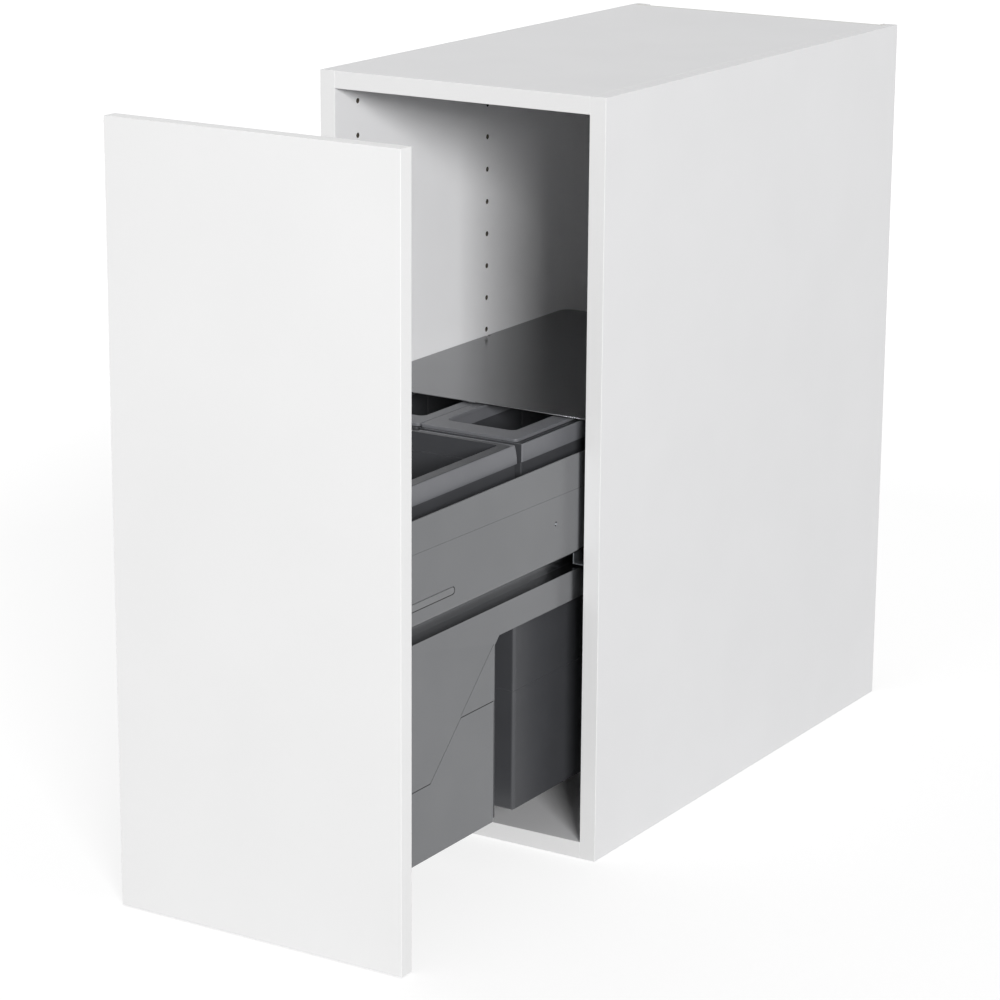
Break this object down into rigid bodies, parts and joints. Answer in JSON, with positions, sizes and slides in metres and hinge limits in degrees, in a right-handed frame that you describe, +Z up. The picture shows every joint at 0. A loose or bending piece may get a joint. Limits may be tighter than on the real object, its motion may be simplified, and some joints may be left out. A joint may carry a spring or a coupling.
{
  "type": "pull out trash cabinet",
  "caption": "Narrow white base cabinet with a plain front that pulls out on telescopic runners, carrying waste bins in frames under a steel cover plate.",
  "frame": {"origin": "centre of the carcass underside", "axes": "+X to the right seen from the front, +Y from the front to the back, +Z up; the pull-out opens along -Y"},
  "size_m": [0.3, 0.897, 0.704],
  "materials": {
    "white_board": "white melamine faced chipboard, fine matt grain",
    "white_edging": "white ABS edge strip",
    "white_front": "smooth white lacquered MDF front",
    "white_back": "white faced hardboard",
    "beech_dowel": "plain turned beech",
    "zinc_fitting": "zinc plated",
    "rail_steel": "galvanised steel",
    "grey_steel": "metallic lacquer, satin mid grey",
    "plate_steel": "metallic lacquer, satin grey, smoother than the sides",
    "grey_cap": "moulded mid grey",
    "dark_plastic": "moulded anthracite, fine grain",
    "frame_plastic": "moulded dark grey, satin",
    "nylon": "natural nylon",
    "clear_rubber": "translucent soft bumper"
  },
  "bodies": {
    "carcass": {"side_panel_left": "white_board", "side_panel_right": "white_board", "top_panel": "white_board", "bottom_panel": "white_board", "back_panel": "white_back", "edge_bands": "white_edging", "dowels": "beech_dowel", "cam_bolts": "zinc_fitting", "cam_locks": "zinc_fitting", "cover_plate": "plate_steel", "plate_holders": "dark_plastic", "cabinet_rail_left": "rail_steel", "cabinet_rail_right": "rail_steel", "rail_screws": "zinc_fitting"},
    "pull_out": {"drawer_rail_left": "rail_steel", "drawer_side_left": "grey_steel", "side_channel_left": "grey_steel", "cover_cap_left": "grey_cap", "front_bracket_left": "zinc_fitting", "brace_left": "grey_steel", "brace_extension_left": "grey_steel", "rear_bin_left": "dark_plastic", "bag_ring_left": "frame_plastic", "drawer_rail_right": "rail_steel", "drawer_side_right": "grey_steel", "side_channel_right": "grey_steel", "cover_cap_right": "grey_cap", "front_bracket_right": "zinc_fitting", "brace_right": "grey_steel", "brace_extension_right": "grey_steel", "rear_bin_right": "dark_plastic", "bag_ring_right": "frame_plastic", "rivets": "zinc_fitting", "front_screws": "zinc_fitting", "back_plate": "grey_steel", "front_panel": "white_front", "bumpers": "clear_rubber", "front_bin_frame": "frame_plastic", "rear_bin_frame": "frame_plastic", "front_bin": "dark_plastic"},
    "middle_runner_left": {"middle_rail_left": "rail_steel"},
    "lower_cage_run_left": {"lower_cage_left": "nylon", "lower_rollers_left": "nylon"},
    "upper_cage_run_left": {"upper_cage_left": "nylon", "upper_rollers_left": "nylon"},
    "middle_runner_right": {"middle_rail_right": "rail_steel"},
    "lower_cage_run_right": {"lower_cage_right": "nylon", "lower_rollers_right": "nylon"},
    "upper_cage_run_right": {"upper_cage_right": "nylon", "upper_rollers_right": "nylon"}
  },
  "joints": [
    {"name": "pull_out_slide", "type": "slide", "parent": "carcass", "child": "pull_out", "axis": [0, -1, 0], "range_m": [-0.299, 0.139]},
    {"name": "middle_slide_left", "type": "slide", "parent": "carcass", "child": "middle_runner_left", "axis": [0, -1, 0], "range_m": [-0.15, 0.07]},
    {"name": "lower_cage_slide_left", "type": "slide", "parent": "carcass", "child": "lower_cage_run_left", "axis": [0, -1, 0], "range_m": [-0.07525, 0.03525]},
    {"name": "upper_cage_slide_left", "type": "slide", "parent": "carcass", "child": "upper_cage_run_left", "axis": [0, -1, 0], "range_m": [-0.22475, 0.10475]},
    {"name": "middle_slide_right", "type": "slide", "parent": "carcass", "child": "middle_runner_right", "axis": [0, -1, 0], "range_m": [-0.15, 0.07]},
    {"name": "lower_cage_slide_right", "type": "slide", "parent": "carcass", "child": "lower_cage_run_right", "axis": [0, -1, 0], "range_m": [-0.07525, 0.03525]},
    {"name": "upper_cage_slide_right", "type": "slide", "parent": "carcass", "child": "upper_cage_run_right", "axis": [0, -1, 0], "range_m": [-0.22475, 0.10475]}
  ],
  "couplings": [
    {"joint": "middle_slide_left", "follows": "pull_out_slide", "ratio": 0.5},
    {"joint": "lower_cage_slide_left", "follows": "pull_out_slide", "ratio": 0.25},
    {"joint": "upper_cage_slide_left", "follows": "pull_out_slide", "ratio": 0.75},
    {"joint": "middle_slide_right", "follows": "pull_out_slide", "ratio": 0.5},
    {"joint": "lower_cage_slide_right", "follows": "pull_out_slide", "ratio": 0.25},
    {"joint": "upper_cage_slide_right", "follows": "pull_out_slide", "ratio": 0.75}
  ]
}
